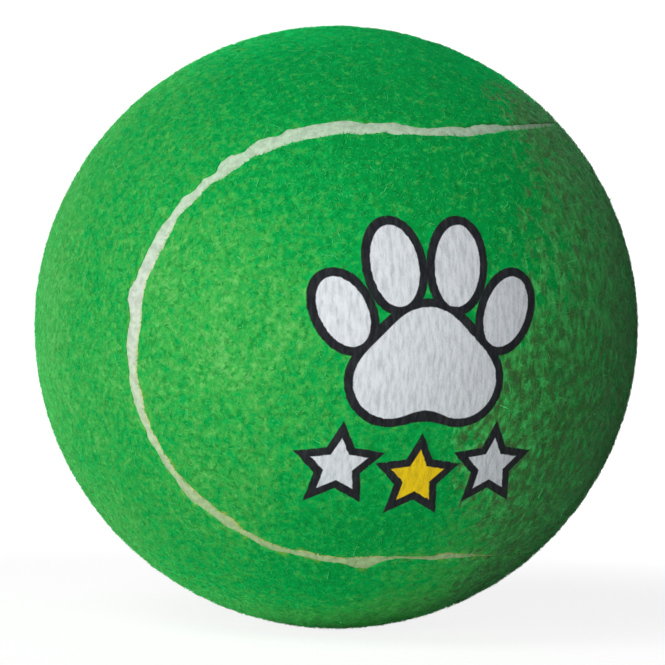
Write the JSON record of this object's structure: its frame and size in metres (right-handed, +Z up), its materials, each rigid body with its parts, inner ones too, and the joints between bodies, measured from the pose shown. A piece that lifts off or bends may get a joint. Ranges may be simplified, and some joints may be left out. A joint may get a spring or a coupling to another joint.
{
  "type": "tennis ball",
  "caption": "Felt-covered play ball: interlocking dumbbell felt panels with a white rubber seam over a cemented hollow rubber core.",
  "frame": {"origin": "centre of the ball", "axes": "+X through the middle of the first felt panel's waist, whose lobes lie on +Y and -Y; the second panel's waist is on -X and its lobes on +Z and -Z; +Z up"},
  "size_m": [0.066, 0.066, 0.066],
  "materials": {
    "felt": "matte",
    "seam_rubber": "matte",
    "core_rubber": "matte",
    "latex_cement": "satin"
  },
  "bodies": {
    "root": {"core_half_upper": "core_rubber", "core_half_lower": "core_rubber", "core_joint_cement": "latex_cement", "felt_cement_a": "latex_cement", "felt_cement_b": "latex_cement", "felt_panel_a": "felt", "felt_panel_b": "felt", "seam_cement": "seam_rubber"}
  },
  "joints": []
}
